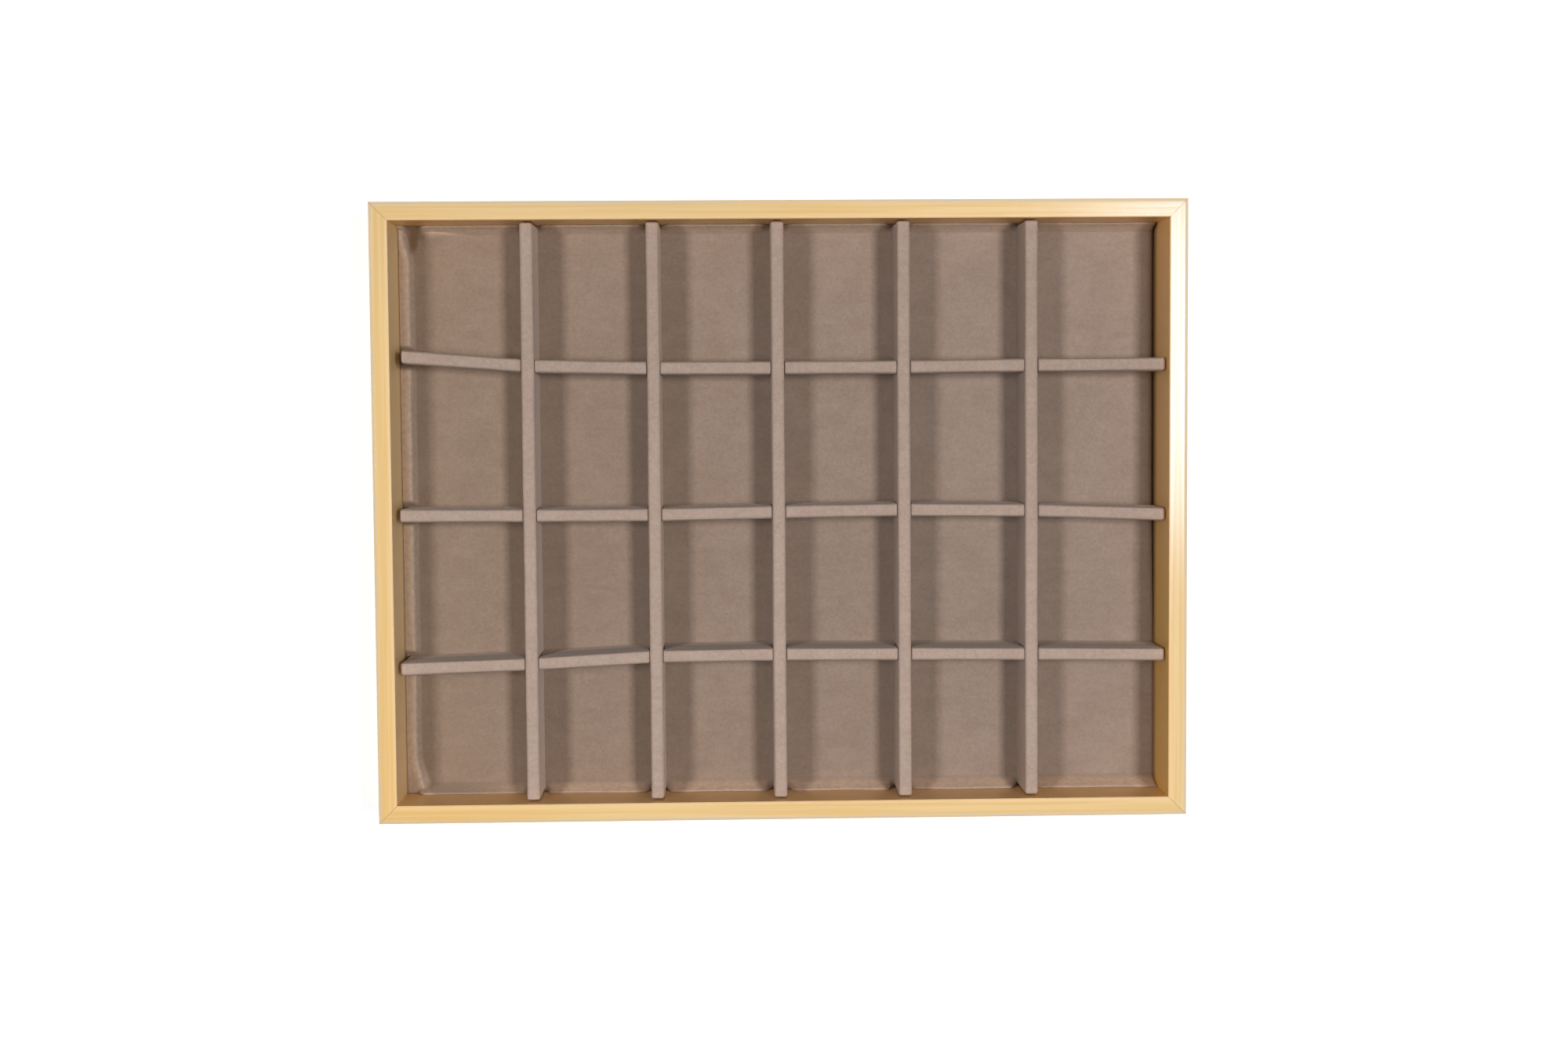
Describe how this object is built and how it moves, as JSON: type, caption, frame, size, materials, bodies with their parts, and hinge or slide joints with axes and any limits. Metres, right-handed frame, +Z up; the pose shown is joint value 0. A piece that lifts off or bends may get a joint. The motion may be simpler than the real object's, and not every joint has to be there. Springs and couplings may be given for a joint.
{
  "type": "jewellery tray",
  "caption": "Shallow open jewellery tray with a mitred gold metal frame, a suede-lined floor and a lift-out grid of suede-wrapped dividers.",
  "frame": {"origin": "middle of the underside, on the surface that the tray rests on", "axes": "+X along the long side to the right, +Y away from the front, +Z up out of the open top"},
  "size_m": [0.42, 0.32, 0.048],
  "materials": {
    "gold_anodised": "satin gold anodised extrusion",
    "key_metal": "plain die-cast",
    "screw_steel": "zinc-plated",
    "fibreboard": "smooth brown fibreboard",
    "grey_card": "dense grey card",
    "suede": "taupe microsuede with a short nap"
  },
  "bodies": {
    "tray": {"rail_front": "gold_anodised", "rail_right": "gold_anodised", "rail_back": "gold_anodised", "rail_left": "gold_anodised", "corner_key_front_left": "key_metal", "corner_key_front_right": "key_metal", "corner_key_back_right": "key_metal", "corner_key_back_left": "key_metal", "corner_screws": "screw_steel", "base_panel": "fibreboard"},
    "floor_lining": {"floor_board": "grey_card", "floor_suede": "suede"},
    "cross_dividers": {"cross_board_front": "grey_card", "cross_cover_front": "suede", "cross_board_middle": "grey_card", "cross_cover_middle": "suede", "cross_board_back": "grey_card", "cross_cover_back": "suede"},
    "long_divider_1": {"long_board_1": "grey_card", "long_cover_1": "suede"},
    "long_divider_2": {"long_board_2": "grey_card", "long_cover_2": "suede"},
    "long_divider_3": {"long_board_3": "grey_card", "long_cover_3": "suede"},
    "long_divider_4": {"long_board_4": "grey_card", "long_cover_4": "suede"},
    "long_divider_5": {"long_board_5": "grey_card", "long_cover_5": "suede"}
  },
  "joints": [
    {"name": "floor_lift", "type": "slide", "parent": "tray", "child": "floor_lining", "axis": [0, 0, 1], "range_m": [0, 0.05]},
    {"name": "cross_lift", "type": "slide", "parent": "floor_lining", "child": "cross_dividers", "axis": [0, 0, 1], "range_m": [0, 0.045]},
    {"name": "long_lift_1", "type": "slide", "parent": "cross_dividers", "child": "long_divider_1", "axis": [0, 0, 1], "range_m": [0, 0.045]},
    {"name": "long_lift_2", "type": "slide", "parent": "cross_dividers", "child": "long_divider_2", "axis": [0, 0, 1], "range_m": [0, 0.045]},
    {"name": "long_lift_3", "type": "slide", "parent": "cross_dividers", "child": "long_divider_3", "axis": [0, 0, 1], "range_m": [0, 0.045]},
    {"name": "long_lift_4", "type": "slide", "parent": "cross_dividers", "child": "long_divider_4", "axis": [0, 0, 1], "range_m": [0, 0.045]},
    {"name": "long_lift_5", "type": "slide", "parent": "cross_dividers", "child": "long_divider_5", "axis": [0, 0, 1], "range_m": [0, 0.045]}
  ]
}
